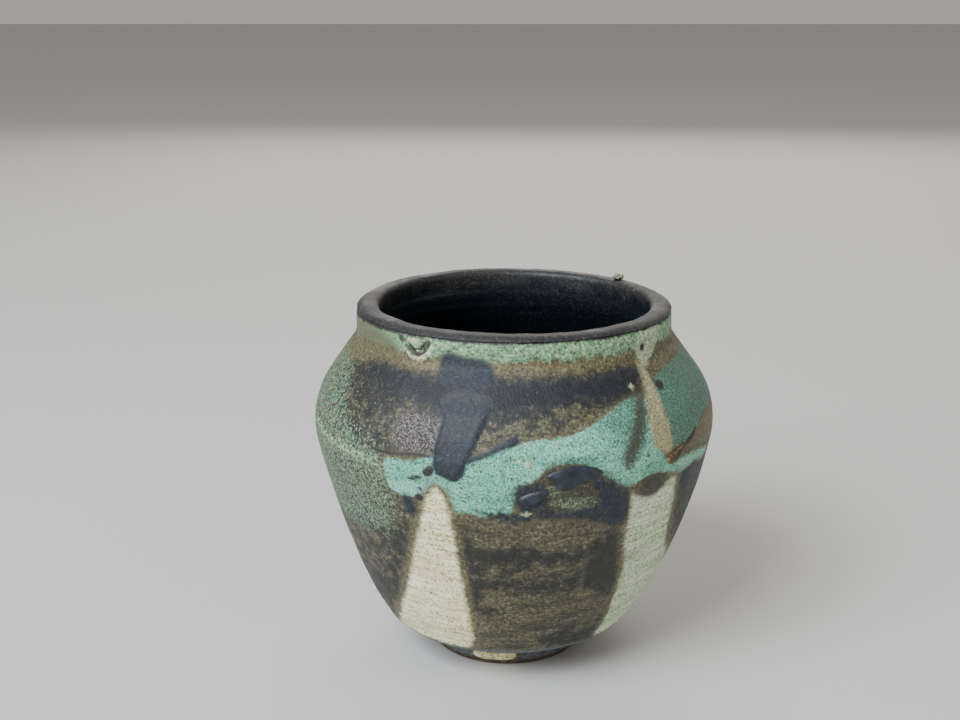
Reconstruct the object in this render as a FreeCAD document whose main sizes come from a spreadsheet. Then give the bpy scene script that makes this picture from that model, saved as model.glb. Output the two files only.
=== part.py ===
"""Small stoneware vase: a round thrown body, a collar, a foot ring and the fired glazes on them.

Millimetres, +Z up, origin at the centre of the foot's resting plane. The side that is seen first
faces -Y. Every outline is drawn in the XZ plane and turned round Z. The outside of the pot is one
chain of arcs that meet in line: hip, bowl, flank and belly going up, then the shoulder's straight
slope and the neck's hollow up to the upright collar. Their radii are those of the glazed surface.
The clay lies one glaze thickness inside it, and each wall is the same chain set in further.
"""
import FreeCAD, Part
import math
import os
import Sketcher

doc = FreeCAD.newDocument("StonewareVase")

# ---------------------------------------------------------------- driving dimensions
DIMENSIONS = {
    # widest part of the pot
    "belly_radius": 60.0,
    "belly_height": 73.2,
    "belly_arc": 25.0,
    # the arcs below the belly, each with the slope at which it ends at its top
    "flank_arc": 203.0,
    "flank_top": 11.6,
    "bowl_arc": 59.3,
    "bowl_top": 25.0,
    "hip_arc": 22.8,
    "hip_top": 33.6,
    # shoulder, neck, collar and lip
    "shoulder_slope": 37.0,
    "neck_arc": 6.0,
    "collar_radius": 47.0,
    "mouth_radius": 40.8,
    "throat_radius": 41.5,
    "collar_seat": 99.6,
    "lip_height": 107.1,
    "lip_outer_round": 2.8,
    "lip_inner_round": 0.9,
    # wall and foot
    "wall": 5.0,
    "foot_radius": 24.0,
    "foot_inner_radius": 18.5,
    "foot_recess": 3.5,
    "foot_round": 0.8,
    "foot_bare": 1.4,
    # glaze coats
    "glaze": 0.5,
    "pour": 0.6,
    "pour_top": 98.6,
    "pour_sweep": 98.0,
    "tongue_tip": 73.0,
    "tongue_radius": 5.2,
    "panel": 0.35,
    "panel_foot": 13.0,
    "panel_top": 61.0,
    "panel_sweep": 50.0,
    # half sizes of the raised drops of glaze and of the crumb on the lip
    "drop_length": 6.6,
    "drop_width": 2.7,
    "drop_rise": 1.5,
    "crumb_length": 1.7,
    "crumb_width": 1.3,
    "crumb_rise": 1.2,
}
# turns round the pot, in degrees from the front towards +X
POUR_STARTS = (-60.0, 120.0)
TONGUE_AFTER_START = 44.5
PANELS = 5
PANEL_START = -15.0
CRUMB_TURN = 131.0
# each drop: turn, height and lean of its long side
DROPS = {
    "glaze_drop_long": (15.0, 72.6, 6.0),
    "glaze_drop_left": (4.2, 68.4, 28.0),
    "glaze_drop_brown": (39.5, 66.6, -8.0),
    "glaze_drop_amber": (49.0, 71.4, 10.0),
}

sheet = doc.addObject("Spreadsheet::Sheet", "Dims")
for row, (word, size) in enumerate(DIMENSIONS.items(), start=1):
    sheet.set(f"A{row}", word)
    sheet.set(f"B{row}", str(size))
    sheet.setAlias(f"B{row}", word)
doc.recompute()


def worked(expression):
    """The number that an expression on the sheet comes to."""
    result = sheet.evalExpression(expression)
    return float(getattr(result, "Value", result))


# ---------------------------------------------------------------- the chain of arcs
# A corner is (x, z, edge), with x and z as expressions. Its edge leads on to the next corner and
# is None for a straight line, or (radius, centre) for an arc. Slopes are measured from upright.
def next_centre(centre, arc, following, slope):
    """The centre of the arc that meets this one in line where the wall has the slope."""
    gap = f"(Dims.{arc} - Dims.{following})"
    return (f"({centre[0]} + {gap} * cos(Dims.{slope} * 1deg))",
            f"({centre[1]} - {gap} * sin(Dims.{slope} * 1deg))")


BELLY = ("(Dims.belly_radius - Dims.belly_arc)", "Dims.belly_height")
FLANK = next_centre(BELLY, "belly_arc", "flank_arc", "flank_top")
BOWL = next_centre(FLANK, "flank_arc", "bowl_arc", "bowl_top")
HIP = next_centre(BOWL, "bowl_arc", "hip_arc", "hip_top")
COS, SIN = "cos(Dims.shoulder_slope * 1deg)", "sin(Dims.shoulder_slope * 1deg)"
NECK_X = "(Dims.collar_radius + Dims.neck_arc)"
SHOULDER_LENGTH = f"(({BELLY[0]} + (Dims.belly_arc + Dims.neck_arc) * {COS} - {NECK_X}) / {SIN})"
NECK = (NECK_X, f"({BELLY[1]} + (Dims.belly_arc + Dims.neck_arc) * {SIN} + {SHOULDER_LENGTH} * {COS})")
# name: centre, and whether the arc is a hollow in the wall
CHAIN = {
    "hip": (HIP, False),
    "bowl": (BOWL, False),
    "flank": (FLANK, False),
    "belly": (BELLY, False),
    "neck": (NECK, True),
}


def edge(name, inset):
    """One arc of the chain, set into the wall by the inset, as a radius and a centre."""
    centre, hollow = CHAIN[name]
    return f"(Dims.{name}_arc {'+' if hollow else '-'} {inset})", centre


def at_height(name, inset, z):
    """The corner where an arc of the chain passes a height."""
    radius, centre = edge(name, inset)
    side = "-" if CHAIN[name][1] else "+"
    return f"{centre[0]} {side} sqrt({radius} ^ 2 - ({z} - {centre[1]}) ^ 2)", z, (radius, centre)


def at_slope(name, inset, slope):
    """The corner where an arc of the chain faces down by the slope."""
    radius, centre = edge(name, inset)
    x, z = f"{centre[0]} + {radius} * cos({slope})", f"{centre[1]} - {radius} * sin({slope})"
    return x, z, (radius, centre)


def hip_at(x, inset):
    """The corner on the underside of the hip at a distance x from the pot's axis."""
    radius, centre = edge("hip", inset)
    return x, f"{centre[1]} - sqrt({radius} ^ 2 - ({x} - {centre[0]}) ^ 2)", (radius, centre)


def straight(corner):
    """The same corner with a straight edge after it."""
    return corner[0], corner[1], None


def rising(inset):
    """The corners from the top of the hip to the foot of the neck's hollow, going up."""
    return [
        at_slope("bowl", inset, "(Dims.hip_top * 1deg)"),
        at_slope("flank", inset, "(Dims.bowl_top * 1deg)"),
        at_slope("belly", inset, "(Dims.flank_top * 1deg)"),
        straight(at_slope("belly", inset, "(-Dims.shoulder_slope * 1deg)")),
        at_slope("neck", inset, "((180 - Dims.shoulder_slope) * 1deg)"),
    ]


def backward(run):
    """An open run of corners walked the other way, each arc kept on its own stretch."""
    edges = [None] + [corner[2] for corner in run[:-1]]
    return [(x, z, before) for (x, z, _), before in zip(run, edges)][::-1]


def inner_wall(inset, throat):
    """The inside from the throat down to the middle of the floor."""
    belly, centre = edge("belly", inset)
    below_throat = f"{centre[1]} + ({belly} - ({throat} - {centre[0]}) * {COS}) / {SIN}"
    floor = f"({HIP[1]} - {edge('hip', inset)[0]})"
    wall = [(HIP[0], floor, edge("hip", inset)), *rising(inset)[:4]]
    return [(throat, below_throat, None), *backward(wall), ("0", floor, None)]


def lip(outer, inner, inset):
    """The lip from the top of the collar's outer side over to its inner side."""
    top = f"(Dims.lip_height - {inset})"
    outer_round, inner_round = f"(Dims.lip_outer_round - {inset})", f"(Dims.lip_inner_round - {inset})"
    outer_centre = (f"({outer} - {outer_round})", f"({top} - {outer_round})")
    inner_centre = (f"({inner} + {inner_round})", f"({top} - {inner_round})")
    return [
        (outer, outer_centre[1], (outer_round, outer_centre)),
        (outer_centre[0], top, None),
        (inner_centre[0], top, (inner_round, inner_centre)),
        (inner, inner_centre[1], None),
    ]


# ---------------------------------------------------------------- drawing and turning an outline
def arc_edge(start, end, centre):
    """The shorter arc between two points about a centre, and whether it runs from end to start."""
    first = math.atan2(start.y - centre.y, start.x - centre.x)
    last = math.atan2(end.y - centre.y, end.x - centre.x)
    turn = (last - first + math.pi) % (2 * math.pi) - math.pi
    circle = Part.Circle(centre, FreeCAD.Vector(0, 0, 1), (start - centre).Length)
    if turn > 0:
        return Part.ArcOfCircle(circle, first, first + turn), False
    return Part.ArcOfCircle(circle, last, last - turn), True


def hold(sketch, constraint, expression):
    """Adds a dimension to a sketch and ties it to its expression."""
    index = sketch.addConstraint(constraint)
    sketch.setExpression(f"Constraints[{index}]", expression)


def hold_corner(sketch, index, end, point, x, z):
    """Ties one end of an edge to its place, measured from the sketch's origin."""
    if x == "0":
        sketch.addConstraint(Sketcher.Constraint("PointOnObject", index, end, -2))
    else:
        hold(sketch, Sketcher.Constraint("DistanceX", -1, 1, index, end, point.x), x)
    if z == "0":
        sketch.addConstraint(Sketcher.Constraint("PointOnObject", index, end, -1))
    else:
        hold(sketch, Sketcher.Constraint("DistanceY", -1, 1, index, end, point.y), z)


def draw(body, corners):
    """A closed outline on the body's own XZ plane, with every size tied to the sheet."""
    sketch = body.newObject("Sketcher::SketchObject", body.Name + "_outline")
    plane = next(item for item in body.Origin.OriginFeatures if item.Role == "XZ_Plane")
    sketch.AttachmentSupport = [(plane, "")]
    sketch.MapMode = "FlatFace"
    points = [FreeCAD.Vector(worked(x), worked(z), 0) for x, z, _ in corners]
    ends = []
    for i, (_, _, curve) in enumerate(corners):
        start, end = points[i], points[(i + 1) % len(points)]
        if curve is None:
            sketch.addGeometry(Part.LineSegment(start, end), False)
            ends.append((1, 2))
        else:
            centre = FreeCAD.Vector(worked(curve[1][0]), worked(curve[1][1]), 0)
            arc, from_end = arc_edge(start, end, centre)
            sketch.addGeometry(arc, False)
            ends.append((2, 1) if from_end else (1, 2))
    for i, (x, z, curve) in enumerate(corners):
        following = (i + 1) % len(corners)
        sketch.addConstraint(Sketcher.Constraint("Coincident", i, ends[i][1], following, ends[following][0]))
        hold_corner(sketch, i, ends[i][0], points[i], x, z)
        if curve is not None:
            hold(sketch, Sketcher.Constraint("Radius", i, worked(curve[0])), curve[0])
    return sketch


def turned(name, corners, sweep="360deg"):
    """A body made by turning a closed outline about the pot's axis."""
    body = doc.addObject("PartDesign::Body", name)
    sketch = draw(body, corners)
    revolution = body.newObject("PartDesign::Revolution", name + "_turned")
    revolution.Profile = sketch
    revolution.ReferenceAxis = (sketch, ["V_Axis"])
    revolution.setExpression("Angle", sweep)
    return body


def about_z(degrees):
    """A turn about the pot's axis."""
    return FreeCAD.Rotation(FreeCAD.Vector(0, 0, 1), degrees)


# ---------------------------------------------------------------- clay
GLAZE, WALL = "Dims.glaze", "(Dims.glaze + Dims.wall)"
FOOT_CLAY = "(Dims.foot_radius - Dims.glaze)"
COLLAR_CLAY = "(Dims.collar_radius - Dims.glaze)"
MOUTH_CLAY = "(Dims.mouth_radius + Dims.glaze)"
THROAT_CLAY = "(Dims.throat_radius + Dims.glaze)"
FOOT_JOINT = hip_at(FOOT_CLAY, GLAZE)
NECK_SEAT = at_height("neck", GLAZE, "Dims.collar_seat")

thrown_body = turned("thrown_body", [
    ("0", "Dims.foot_recess", None),
    ("Dims.foot_inner_radius", "Dims.foot_recess", None),
    ("Dims.foot_inner_radius", FOOT_JOINT[1], None),
    FOOT_JOINT,
    *rising(GLAZE),
    straight(NECK_SEAT),
    (THROAT_CLAY, "Dims.collar_seat", None),
    *inner_wall(WALL, THROAT_CLAY),
])

collar = turned("collar", [
    (MOUTH_CLAY, "Dims.collar_seat", None),
    NECK_SEAT,
    (COLLAR_CLAY, NECK[1], None),
    *lip(COLLAR_CLAY, MOUTH_CLAY, GLAZE),
])

INNER_TREAD = "(Dims.foot_inner_radius + Dims.foot_round)"
OUTER_TREAD = f"({FOOT_CLAY} - Dims.foot_round)"
foot_ring = turned("foot_ring", [
    ("Dims.foot_inner_radius", FOOT_JOINT[1], None),
    ("Dims.foot_inner_radius", "Dims.foot_round", ("Dims.foot_round", (INNER_TREAD, "Dims.foot_round"))),
    (INNER_TREAD, "0", None),
    (OUTER_TREAD, "0", ("Dims.foot_round", (OUTER_TREAD, "Dims.foot_round"))),
    (FOOT_CLAY, "Dims.foot_round", None),
    straight(FOOT_JOINT),
])

# ---------------------------------------------------------------- the two all-over glazes
# The dark liner glaze covers the lip and everything inside it.
LINED = "(2 * Dims.glaze + Dims.wall)"
THROAT_LINED = "Dims.throat_radius"
inside_glaze = turned("inside_glaze", [
    *lip(COLLAR_CLAY, MOUTH_CLAY, GLAZE),
    (MOUTH_CLAY, "Dims.collar_seat", None),
    (THROAT_CLAY, "Dims.collar_seat", None),
    *inner_wall(WALL, THROAT_CLAY),
    *backward([
        *lip("Dims.collar_radius", "Dims.mouth_radius", "0"),
        ("Dims.mouth_radius", "(Dims.collar_seat - Dims.glaze)", None),
        (THROAT_LINED, "(Dims.collar_seat - Dims.glaze)", None),
        *inner_wall(LINED, THROAT_LINED),
    ]),
])

# The pale outer glaze runs from just above the resting edge up the foot and the wall to the lip.
LIP_EDGE = "(Dims.lip_height - Dims.lip_outer_round)"
FOOT_GLAZED = hip_at("Dims.foot_radius", "0")
outside_glaze = turned("outside_glaze", [
    ("Dims.foot_radius", "Dims.foot_bare", None),
    FOOT_GLAZED,
    *rising("0"),
    ("Dims.collar_radius", NECK[1], None),
    ("Dims.collar_radius", LIP_EDGE, None),
    *backward([
        (FOOT_CLAY, "Dims.foot_bare", None),
        FOOT_JOINT,
        *rising(GLAZE),
        (COLLAR_CLAY, NECK[1], None),
        (COLLAR_CLAY, LIP_EDGE, None),
    ]),
])

# The space that the glazed pot fills, hollow and all. What lies on the glaze is cut by it.
envelope = turned("envelope", [
    ("0", "0", None),
    ("Dims.foot_radius", "0", None),
    FOOT_GLAZED,
    *rising("0"),
    ("Dims.collar_radius", NECK[1], None),
    *lip("Dims.collar_radius", "Dims.mouth_radius", "0")[:2],
    ("0", "Dims.lip_height", None),
])


# ---------------------------------------------------------------- dark shoulder pours
def joined(kind, name, base, tool):
    """A boolean of two solids."""
    result = doc.addObject(kind, name)
    result.Base, result.Tool = base, tool
    return result


def pour_shell(name, sweep, foot=None):
    """Part of the shell over the shoulder's glaze, which can reach down to a foot on the belly."""
    runs = []
    for inset in ("(-Dims.pour)", "0"):
        start = [at_height("belly", inset, foot)] if foot else []
        runs.append([*start, *rising(inset)[3:], straight(at_height("neck", inset, "Dims.pour_top"))])
    return turned(name, runs[0] + backward(runs[1]), sweep)


def tongue_outline(name):
    """An upright prism with a half round lower end, which passes out through the front."""
    body = doc.addObject("PartDesign::Body", name)
    half_round = ("Dims.tongue_radius", ("0", "Dims.tongue_tip"))
    sketch = draw(body, [
        ("Dims.tongue_radius", "Dims.pour_top", None),
        ("-Dims.tongue_radius", "Dims.pour_top", None),
        ("-Dims.tongue_radius", "Dims.tongue_tip", half_round),
        ("0", "(Dims.tongue_tip - Dims.tongue_radius)", half_round),
        ("Dims.tongue_radius", "Dims.tongue_tip", None),
    ])
    pad = body.newObject("PartDesign::Pad", name + "_pad")
    pad.Profile = sketch
    pad.setExpression("Length", "2 * Dims.belly_radius")
    return body


def shoulder_pour(name, start):
    """One dark overlay: a band round the shoulder with a long tongue that has run down from it."""
    band = pour_shell(name + "_band", "Dims.pour_sweep * 1deg")
    # a body turned from +X begins a quarter turn past the front
    band.Placement.Rotation = about_z(start - 90)
    shell = pour_shell(name + "_shell", "360deg", "(Dims.tongue_tip - 2 * Dims.tongue_radius)")
    outline = tongue_outline(name + "_prism")
    outline.Placement.Rotation = about_z(start + TONGUE_AFTER_START)
    tongue = joined("Part::Common", name + "_tongue", shell, outline)
    return joined("Part::Fuse", name, band, tongue)


pours = [shoulder_pour(f"shoulder_pour_{i}", start) for i, start in enumerate(POUR_STARTS, start=1)]


# ---------------------------------------------------------------- iron-brown panels
def iron_panel(name, start):
    """A brown overlay on the lower wall, with a bare stripe of the pale glaze on each side."""
    runs = []
    for inset in ("(-Dims.panel)", "0"):
        runs.append([
            at_height("hip", inset, "Dims.panel_foot"),
            *rising(inset)[:2],
            straight(at_height("flank", inset, "Dims.panel_top")),
        ])
    panel = turned(name, runs[0] + backward(runs[1]), "Dims.panel_sweep * 1deg")
    panel.Placement.Rotation = about_z(start - 90)
    return panel


panels = [iron_panel(f"iron_panel_{i + 1}", PANEL_START + i * 360 / PANELS) for i in range(PANELS)]


# ---------------------------------------------------------------- raised drops and the crumb
def mound(name, sizes, turn, radius, height, lean):
    """An ellipsoid half sunk in the glaze; sizes name its half height, length and depth."""
    whole = doc.addObject("Part::Ellipsoid", name + "_whole")
    for side, word in zip(("Radius1", "Radius2", "Radius3"), sizes):
        whole.setExpression(side, f"Dims.{word}")
    place = about_z(turn).multVec(FreeCAD.Vector(0, -radius, height))
    leaning = about_z(turn).multiply(FreeCAD.Rotation(FreeCAD.Vector(0, 1, 0), lean))
    whole.Placement = FreeCAD.Placement(place, leaning)
    return joined("Part::Cut", name, whole, envelope)


DROP_SIZES = ("drop_width", "drop_length", "drop_rise")
drops = []
for name, (turn, height, lean) in DROPS.items():
    radius = worked(at_height("belly", "0", str(height))[0])
    drops.append(mound(name, DROP_SIZES, turn, radius, height, lean))

CRUMB_SIZES = ("crumb_rise", "crumb_length", "crumb_width")
lip_middle = worked("(Dims.mouth_radius + Dims.collar_radius) / 2")
crumb = mound("rim_crumb", CRUMB_SIZES, CRUMB_TURN, lip_middle, worked("Dims.lip_height"), 0.0)

# ---------------------------------------------------------------- check and write
pieces = [thrown_body, collar, foot_ring, inside_glaze, outside_glaze, *pours, *panels, *drops, crumb]
doc.recompute()
for item in doc.Objects:
    if any(state in item.State for state in ("Invalid", "Error")):
        raise RuntimeError(f"{item.Label} failed: {item.State}")
for piece in pieces:
    if piece.Shape.isNull() or not piece.Shape.isValid() or len(piece.Shape.Solids) != 1:
        raise RuntimeError(f"{piece.Label} is not one valid solid")

os.makedirs("parts", exist_ok=True)
for piece in pieces:
    piece.Shape.exportStep(f"parts/{piece.Label}.step")
    box = piece.Shape.optimalBoundingBox()
    print(f"{piece.Label:18s} {piece.Shape.Volume:10.1f} mm3  z {box.ZMin:6.2f} to {box.ZMax:6.2f}")
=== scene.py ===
import bpy
import math
import numpy as np
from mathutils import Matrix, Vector


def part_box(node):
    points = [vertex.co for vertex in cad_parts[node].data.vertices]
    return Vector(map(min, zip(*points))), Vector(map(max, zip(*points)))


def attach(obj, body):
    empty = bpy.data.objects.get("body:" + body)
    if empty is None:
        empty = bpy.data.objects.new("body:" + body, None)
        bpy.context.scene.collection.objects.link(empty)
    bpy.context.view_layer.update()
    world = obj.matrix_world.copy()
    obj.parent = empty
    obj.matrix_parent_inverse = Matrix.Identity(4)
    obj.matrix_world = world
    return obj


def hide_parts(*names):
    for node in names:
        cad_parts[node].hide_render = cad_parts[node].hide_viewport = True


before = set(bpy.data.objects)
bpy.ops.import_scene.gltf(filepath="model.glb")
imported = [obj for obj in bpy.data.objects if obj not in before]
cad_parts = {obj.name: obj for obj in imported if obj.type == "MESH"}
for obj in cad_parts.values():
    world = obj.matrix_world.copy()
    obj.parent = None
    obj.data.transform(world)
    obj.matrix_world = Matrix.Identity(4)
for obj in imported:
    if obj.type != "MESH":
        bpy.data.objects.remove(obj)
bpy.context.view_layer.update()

# ---------------------------------------------------------------- the stage
# A plain pale table, a broad soft light from the front left and above, as from a window, a weak
# one from the right and one from behind. The eye is above the vase and looks down at it.
MM = 0.001
bpy.ops.object.select_all(action="DESELECT")


def linear(hex_colour):
    """An sRGB hex colour as linear red, green, blue and an alpha of one."""
    channels = [int(hex_colour[i:i + 2], 16) / 255 for i in (1, 3, 5)]
    return tuple(c / 12.92 if c <= 0.04045 else ((c + 0.055) / 1.055) ** 2.4 for c in channels) + (1.0,)


def add(tree, kind, inputs=None, stops=None, **settings):
    """Adds one node with its settings; each input gets a value or a link from another node's socket."""
    node = tree.nodes.new("ShaderNode" + kind)
    for setting, value in settings.items():
        setattr(node, setting, value)
    for name, value in (inputs or {}).items():
        if isinstance(value, bpy.types.NodeSocket):
            tree.links.new(value, node.inputs[name])
        else:
            node.inputs[name].default_value = value
    if stops:
        ramp = node.color_ramp
        while len(ramp.elements) < len(stops):
            ramp.elements.new(0.5)
        for element, (place, hex_colour) in zip(ramp.elements, stops):
            element.position = place
            element.color = linear(hex_colour)
    return node


def new_material(name):
    """An empty material, its node tree and its shader."""
    material = bpy.data.materials.new(name)
    material.use_nodes = True
    tree = material.node_tree
    tree.nodes.clear()
    shader = add(tree, "BsdfPrincipled")
    surface = add(tree, "OutputMaterial", {"Surface": shader.outputs["BSDF"]})
    surface.location = (400, 0)
    return material, tree, shader


eye_distance = 0.39075
eye_height = 0.19294
eye_pitch = 14.864
vase_right_of_middle = 0.0359
lens_length = 50
film_width = 36

camera_data = bpy.data.cameras.new("camera")
camera_data.lens = lens_length
camera_data.sensor_width = film_width
camera_data.shift_x = -vase_right_of_middle
camera = bpy.data.objects.new("camera", camera_data)
camera.location = (0, -eye_distance, eye_height)
camera.rotation_euler = (math.radians(90 - eye_pitch), 0, 0)
bpy.context.scene.collection.objects.link(camera)
bpy.context.scene.camera = camera

table_width = 30.0
bpy.ops.mesh.primitive_plane_add(size=table_width, location=(0, 0, 0))
table = bpy.context.object
table.name = "table"
table_paint, tree, shader = new_material("pale matt table")
shader.inputs["Base Color"].default_value = linear("#c4c4c1")
shader.inputs["Roughness"].default_value = 0.75
table.data.materials.append(table_paint)


def soft_light(name, place, aim, width, watts, hex_colour):
    """A square area light that looks at a point of the vase."""
    light = bpy.data.lights.new(name, "AREA")
    light.size = width
    light.energy = watts
    light.color = linear(hex_colour)[:3]
    lamp = bpy.data.objects.new(name, light)
    lamp.location = place
    direction = lamp.location - aim
    lamp.rotation_euler = direction.to_track_quat("Z", "Y").to_euler()
    bpy.context.scene.collection.objects.link(lamp)


middle = Vector((0, 0, 0.06))
soft_light("window", (-0.75, -0.85, 1.05), middle, 0.9, 42, "#f1f5ff")
soft_light("room", (1.2, -0.6, 0.7), middle, 1.2, 3.5, "#fff4e6")
soft_light("back wall", (0.1, 1.3, 0.9), middle, 1.4, 12, "#fffaf2")

world = bpy.data.worlds.new("room")
bpy.context.scene.world = world
world.use_nodes = True
world.node_tree.nodes["Background"].inputs["Color"].default_value = linear("#d8d4cf")
world.node_tree.nodes["Background"].inputs["Strength"].default_value = 0.6

# ---------------------------------------------------------------- the clay body
# The pot itself, thrown on a wheel in a stoneware clay with iron in it, with a collar and a turned
# foot ring. Fired, the clay is a dry brown, and it shows bare only under the foot.
belly_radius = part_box("outside_glaze")[1][0]
lip_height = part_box("inside_glaze")[1][2]
clay_foot_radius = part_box("foot_ring")[1][0]
clay_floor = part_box("thrown_body")[0][2]
foot_hollow_radius = 18.5 * MM
belly_height = 73.2 * MM
belly_arc = 25.0 * MM
flank_arc = 203.0 * MM
bowl_arc = 59.3 * MM
hip_arc = 22.8 * MM
wall_turns = (11.6, 25.0, 33.6, 80.0)
shoulder_slope = 37.0
neck_arc = 6.0 * MM
collar_radius = 47.0 * MM
lip_round = 2.8 * MM
foot_round = 0.8 * MM
clay_inset = 1.8 * MM
clay_thickness = 3.4 * MM
CLAY_STEPS = 128


def draw_wall(start, heading, moves, spacing):
    """Points along a line that goes on in line: each move is a radius and a turn in degrees, or
    None and a length. A heading of 90 goes up; a positive turn bears left."""
    points = [Vector(start)]
    for radius, amount in moves:
        here = points[-1]
        forward = Vector((math.cos(math.radians(heading)), math.sin(math.radians(heading))))
        if radius is None:
            count = max(1, round(amount / spacing))
            points += [here + forward * amount * i / count for i in range(1, count + 1)]
            continue
        left = Vector((-forward.y, forward.x)) * (1 if amount > 0 else -1)
        centre = here + left * radius
        count = max(1, round(radius * math.radians(abs(amount)) / spacing))
        for i in range(1, count + 1):
            turn = math.radians(amount * i / count)
            arm = here - centre
            points.append(centre + Vector((arm.x * math.cos(turn) - arm.y * math.sin(turn),
                                           arm.x * math.sin(turn) + arm.y * math.cos(turn))))
        heading += amount
    return points


def wall_outline(inset, spacing, down_to=wall_turns[3]):
    """The wall from the hip up to the foot of the lip, set in by an inset."""
    turns = [wall_turns[0], wall_turns[1] - wall_turns[0], wall_turns[2] - wall_turns[1],
             down_to - wall_turns[2]]
    arcs = [belly_arc - inset, flank_arc - inset, bowl_arc - inset, hip_arc - inset]
    belly = (belly_radius - inset, belly_height)
    down = draw_wall(belly, -90, [(arc, -turn) for arc, turn in zip(arcs, turns)], spacing)
    slope = math.radians(shoulder_slope)
    shoulder = (belly_radius - belly_arc + (belly_arc + neck_arc) * math.cos(slope)
                - collar_radius - neck_arc) / math.sin(slope)
    up = draw_wall(belly, 90, [(belly_arc - inset, shoulder_slope), (None, shoulder),
                               (neck_arc + inset, -shoulder_slope)], spacing)
    collar_top = lip_height - lip_round
    collar = draw_wall(up[-1], 90, [(None, collar_top - up[-1].y)], spacing)
    return down[::-1] + up[1:] + collar[1:]


def throw(name, outline, steps):
    """Draws an outline upright from one point, then turns it once round the pot's axis."""
    bpy.ops.object.select_all(action="DESELECT")
    bpy.ops.mesh.primitive_plane_add(size=MM, location=(outline[0].x, 0, outline[0].y))
    bpy.ops.object.transform_apply(location=True, rotation=False, scale=False)
    piece = bpy.context.object
    piece.name = name
    bpy.ops.object.mode_set(mode="EDIT")
    bpy.ops.mesh.select_all(action="SELECT")
    bpy.ops.mesh.merge(type="CENTER")
    for here, there in zip(outline, outline[1:]):
        step = (there.x - here.x, 0, there.y - here.y)
        bpy.ops.mesh.extrude_region_move(TRANSFORM_OT_translate={"value": step})
    bpy.ops.mesh.select_all(action="SELECT")
    bpy.ops.mesh.spin(steps=steps, angle=2 * math.pi, center=(0, 0, 0), axis=(0, 0, 1))
    bpy.ops.mesh.select_all(action="SELECT")
    bpy.ops.mesh.remove_doubles(threshold=0.01 * MM)
    bpy.ops.mesh.normals_make_consistent(inside=False)
    bpy.ops.object.mode_set(mode="OBJECT")
    return piece


def places(piece):
    """The turn in degrees, the height in millimetres and the distance from the axis of each point."""
    points = np.empty(len(piece.data.vertices) * 3)
    piece.data.vertices.foreach_get("co", points)
    x, y, z = points.reshape(-1, 3).T
    return np.degrees(np.arctan2(x, -y)), z / MM, np.hypot(x, y)


def smooth(x):
    """Nought below 0, one above 1 and an even rise between."""
    x = np.clip(x, 0, 1)
    return x * x * (3 - 2 * x)


def push(piece, name, weights, amount, direction="NORMAL"):
    """Moves the surface by an amount where the weights are one, and less where they are less."""
    group = piece.vertex_groups.new(name=name)
    for index in np.nonzero(weights > 0.002)[0]:
        group.add([int(index)], float(weights[index]), "REPLACE")
    bpy.context.view_layer.objects.active = piece
    modifier = piece.modifiers.new(name, "DISPLACE")
    modifier.vertex_group = name
    modifier.direction = direction
    modifier.mid_level = 0
    modifier.strength = amount
    bpy.ops.object.modifier_apply(modifier=name)
    piece.vertex_groups.remove(piece.vertex_groups[name])


def lumpy(piece, size, amount, direction="NORMAL"):
    """Pushes a piece in and out by a soft pattern of a size, fixed in space."""
    texture = bpy.data.textures.new("lumps", "CLOUDS")
    texture.noise_scale = size
    bpy.context.view_layer.objects.active = piece
    modifier = piece.modifiers.new("lumps", "DISPLACE")
    modifier.texture = texture
    modifier.texture_coords = "LOCAL"
    modifier.direction = direction
    modifier.strength = amount
    bpy.ops.object.modifier_apply(modifier="lumps")


# how far the pot is out of true: bulges a hand wide, the foot off centre, the lip uneven
bulge_size, bulge = 90 * MM, 2.0 * MM
foot_shift, shifted_up_to = -2.3 * MM, 46
lip_rise, lip_rise_from, lip_rise_over, highest_turn = 1.5 * MM, 80, 27, -150


def settle(piece):
    """Gives a piece its share of the whole pot's unevenness: a little out of round, turned off
    centre at the foot, and with the lip higher at the back and on the left."""
    lumpy(piece, bulge_size, bulge, "X")
    lumpy(piece, bulge_size, bulge, "Y")
    turn, height, _ = places(piece)
    push(piece, "off_centre", np.clip(1 - height / shifted_up_to, 0, 1) ** 1.6, foot_shift, "X")
    back = 0.5 + 0.5 * np.cos(np.radians(turn - highest_turn))
    rise = back ** 1.5 * smooth((height - lip_rise_from) / lip_rise_over)
    push(piece, "uneven_lip", rise, lip_rise, "Z")


sharp_from = 50


def finish_shape(piece):
    """Smooth shading that keeps real edges."""
    bpy.ops.object.select_all(action="DESELECT")
    piece.select_set(True)
    bpy.context.view_layer.objects.active = piece
    bpy.ops.object.shade_smooth_by_angle(angle=math.radians(sharp_from))


clay_spacing = 8 * MM
clay_outside = wall_outline(clay_inset, clay_spacing)
clay_inside = wall_outline(clay_inset + clay_thickness, clay_spacing, 90)
body_outline = ([Vector((0, clay_floor)), Vector((foot_hollow_radius + foot_round, clay_floor)),
                 Vector((foot_hollow_radius + foot_round, clay_floor + clay_thickness))]
                + clay_outside + clay_inside[::-1] + [Vector((0, clay_inside[0].y))])
thrown_clay = throw("thrown_clay", body_outline, CLAY_STEPS)
tread = draw_wall((foot_hollow_radius, clay_floor + foot_round), -90,
                  [(None, clay_floor), (foot_round, 90),
                   (None, clay_foot_radius - foot_hollow_radius - 2 * foot_round),
                   (foot_round, 90), (None, 1.4 * MM)], 0.3 * MM)
foot_top = clay_floor + 1.2 * foot_round
ring_outline = tread + [Vector((clay_foot_radius - foot_round, foot_top + foot_round)), tread[0]]
foot_clay = throw("foot_clay", ring_outline, CLAY_STEPS)

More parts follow.
